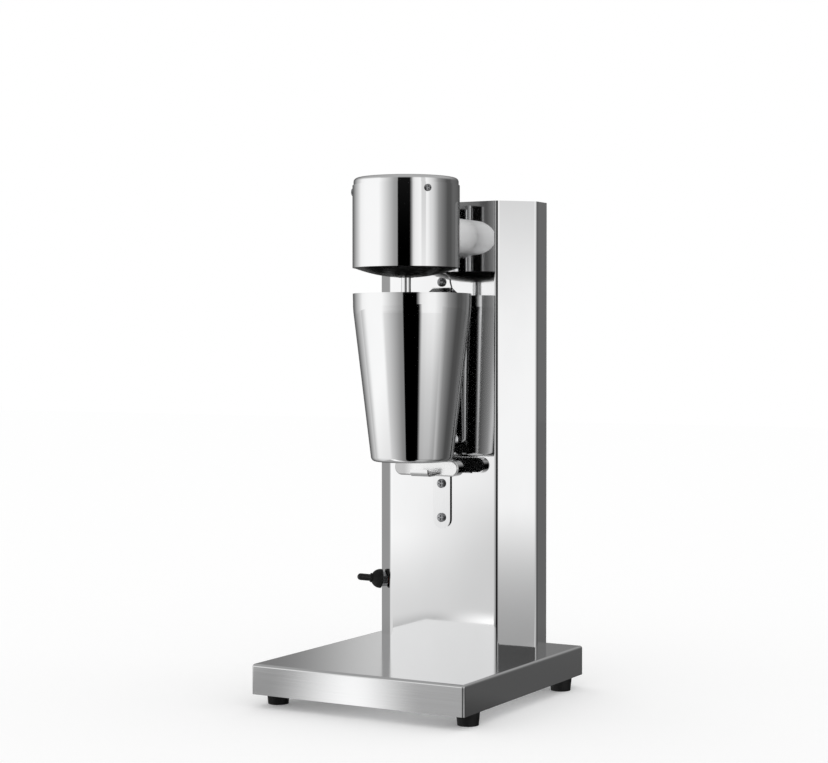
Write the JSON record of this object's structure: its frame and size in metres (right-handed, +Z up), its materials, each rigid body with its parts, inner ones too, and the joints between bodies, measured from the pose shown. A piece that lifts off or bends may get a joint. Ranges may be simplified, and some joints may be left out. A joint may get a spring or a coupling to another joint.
{
  "type": "milkshake mixer",
  "caption": "Countertop milkshake mixer: folded steel stand, round motor head with a hanging agitator spindle, tapered metal cup on a rest, toggle switch.",
  "frame": {"origin": "centre of the base pan, at the worktop under the feet", "axes": "+X to the right seen from the front, -Y to the front, +Z up"},
  "size_m": [0.222, 0.247, 0.491],
  "materials": {
    "polished": "mirror-polished stainless steel",
    "enamel": "black enamelled steel",
    "satin": "satin stainless steel",
    "hardware": "plated steel screws and nuts",
    "rubber": "black rubber",
    "black_plastic": "black moulded plastic",
    "phenolic": "red-brown phenolic",
    "cream_plastic": "cream moulded plastic",
    "brass": "turned brass and sintered bronze",
    "copper": "varnished copper",
    "laminations": "stacked electrical steel",
    "castings": "die-cast aluminium",
    "carbon": "pressed carbon"
  },
  "bodies": {
    "stand": {"feet": "rubber", "foot_screws": "hardware", "bottom_cover": "satin", "base_pan": "polished", "column_brackets": "satin", "column_bolts": "hardware", "column_shell": "polished", "column_top_cap": "polished", "back_cover": "satin", "back_cover_screws": "hardware", "cable_gland": "black_plastic", "gland_nut": "black_plastic", "terminal_block": "cream_plastic", "cup_rest_arm": "polished", "cup_rest_cap": "polished", "cup_rest_buffer": "rubber", "cup_rest_screws": "hardware", "cup_clip": "satin", "cup_clip_screw": "hardware", "neck_sleeve": "polished", "neck_stud": "brass", "neck_nuts": "hardware", "neck_saddle": "satin", "head_shell": "polished", "head_cap": "polished", "head_cap_screws": "hardware", "head_dish": "enamel", "mounting_studs": "hardware", "lower_bracket": "castings", "lower_bearing": "brass", "stator_core": "laminations", "field_coils": "copper", "upper_bracket": "castings", "upper_bearing": "brass", "motor_bolts": "hardware", "brush_holders": "brass", "carbon_brushes": "carbon", "shaft_seal": "rubber", "switch_body": "phenolic", "switch_terminals": "brass", "switch_nut": "hardware", "switch_pin": "hardware"},
    "rotor": {"motor_shaft": "satin", "armature_core": "laminations", "armature_windings": "copper", "commutator": "copper", "cooling_fan": "black_plastic", "spindle_coupling": "satin", "spindle": "satin", "agitator_discs": "satin", "agitator_button": "satin"},
    "lever": {"switch_lever": "black_plastic", "switch_boot": "rubber"},
    "cup": {"mixing_cup": "polished"}
  },
  "joints": [
    {"name": "rotor_spin", "type": "hinge", "parent": "stand", "child": "rotor", "pos_m": [0, -0.0306, 0.4055], "axis": [0, 0, 1], "continuous": true},
    {"name": "switch_throw", "type": "hinge", "parent": "stand", "child": "lever", "pos_m": [-0.07723, 0.06153, 0.1004], "axis": [0.6823, -0.7311, 0], "range_deg": [0, 13.4]},
    {"name": "cup_swing", "type": "hinge", "parent": "stand", "child": "cup", "pos_m": [0, 0.0364, 0.3818], "axis": [-1, 0, 0], "range_deg": [0, 9]}
  ]
}
